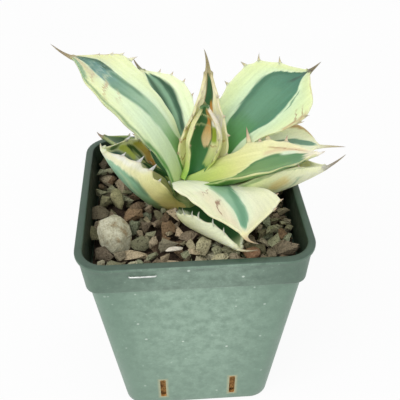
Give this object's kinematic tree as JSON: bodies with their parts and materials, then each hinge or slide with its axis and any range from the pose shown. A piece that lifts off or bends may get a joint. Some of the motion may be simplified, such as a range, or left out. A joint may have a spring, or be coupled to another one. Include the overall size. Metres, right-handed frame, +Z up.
{
  "type": "potted agave",
  "caption": "Small variegated agave with toothed, spine-tipped leaves in a square tapered nursery pot filled with mineral grit.",
  "frame": {"origin": "centre of the pot's flat underside", "axes": "+Z up, the pot's front wall with the staple faces -Y, +X to the right seen from the front"},
  "size_m": [0.1129, 0.0964, 0.1338],
  "materials": {
    "pot_plastic": "grey-green moulded polypropylene, semi-matt, with pale mineral specks",
    "staple_steel": "bright drawn wire",
    "grit_mix": "rough mix of brown lava, grey and beige pumice",
    "stone_pale": "pale rough pumice",
    "stone_green": "grey-green rough zeolite",
    "stone_rust": "rust-coloured lava",
    "stone_white": "off-white chip",
    "stem_bark": "pale fleshy stem base",
    "leaf_variegated": "waxy leaf, blue-green centre stripe and cream margins, brown teeth and spine"
  },
  "bodies": {
    "root": {"pot": "pot_plastic", "rim_staple": "staple_steel", "grit": "grit_mix", "stone_pale_large": "stone_pale", "stone_pale_tall": "stone_green", "stone_orange": "stone_rust", "stone_splinter": "stone_white", "stem": "stem_bark", "leaf_bud": "leaf_variegated", "leaf_spear": "leaf_variegated", "leaf_back_left": "leaf_variegated", "leaf_upper_left": "leaf_variegated", "leaf_back_right": "leaf_variegated", "leaf_front_right": "leaf_variegated", "leaf_right_front": "leaf_variegated", "leaf_right_back": "leaf_variegated", "leaf_left_back": "leaf_variegated", "leaf_left": "leaf_variegated", "leaf_right_low": "leaf_variegated", "leaf_front_low": "leaf_variegated", "leaf_rear": "leaf_variegated", "leaf_rear_left": "leaf_variegated", "leaf_rear_right": "leaf_variegated"}
  },
  "joints": []
}
